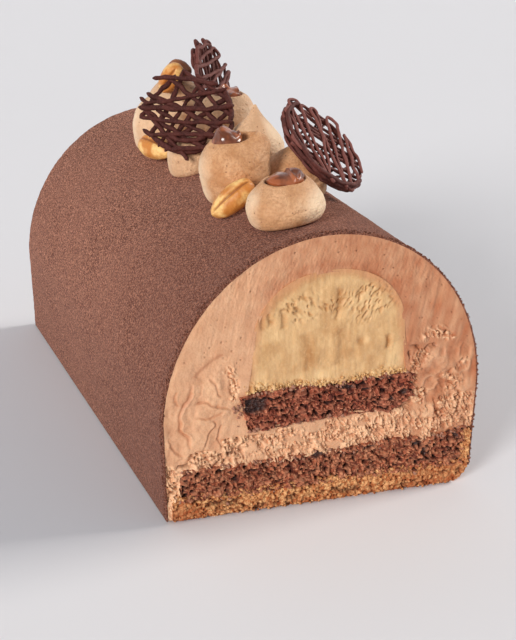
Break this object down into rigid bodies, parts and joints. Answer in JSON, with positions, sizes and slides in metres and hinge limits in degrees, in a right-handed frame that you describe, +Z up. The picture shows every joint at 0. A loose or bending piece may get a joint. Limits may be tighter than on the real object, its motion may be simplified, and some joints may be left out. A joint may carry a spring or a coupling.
{
  "type": "yule log cake",
  "caption": "Sliced yule log cake: sprayed coat over mousse, cream and sponge on a biscuit base, ridge dressed with piped kisses, nuts and chocolate lattice.",
  "frame": {"origin": "middle of the underside of the biscuit base's footprint box", "axes": "+X to the right across the cut face, +Y along the log away from the cut face, +Z up"},
  "size_m": [0.08, 0.1326, 0.0913],
  "materials": {
    "biscuit": "crumbly baked biscuit",
    "sponge": "open dark sponge crumb",
    "sponge_strip": "moist dark sponge crumb",
    "mousse": "knife-dragged set mousse",
    "cream": "smooth set cream with cut marks",
    "coat": "fine-grained sprayed chocolate velvet",
    "kiss": "smooth piped cream with tiny specks",
    "praline": "glossy nut praline",
    "peanut": "roasted peanut kernel with a slight sheen",
    "nut_skin": "brown roasted nut piece",
    "chocolate": "set dark chocolate strands"
  },
  "bodies": {
    "root": {"biscuit_base": "biscuit", "sponge_lower": "sponge", "mousse": "mousse", "sponge_strip": "sponge_strip", "cream_core": "cream", "velvet_coat": "coat", "kiss_front": "kiss", "praline_front": "praline", "kiss_round": "kiss", "praline_round": "praline", "kiss_peak": "kiss", "kiss_leaned": "kiss", "kiss_low": "kiss", "kiss_left": "kiss", "kiss_tall": "kiss", "praline_tall": "praline", "kiss_rear": "kiss", "peanut_front": "peanut", "peanut_low": "peanut", "peanut_high": "peanut", "nut_piece": "nut_skin", "lattice_left": "chocolate", "lattice_upright": "chocolate", "lattice_right": "chocolate"}
  },
  "joints": []
}
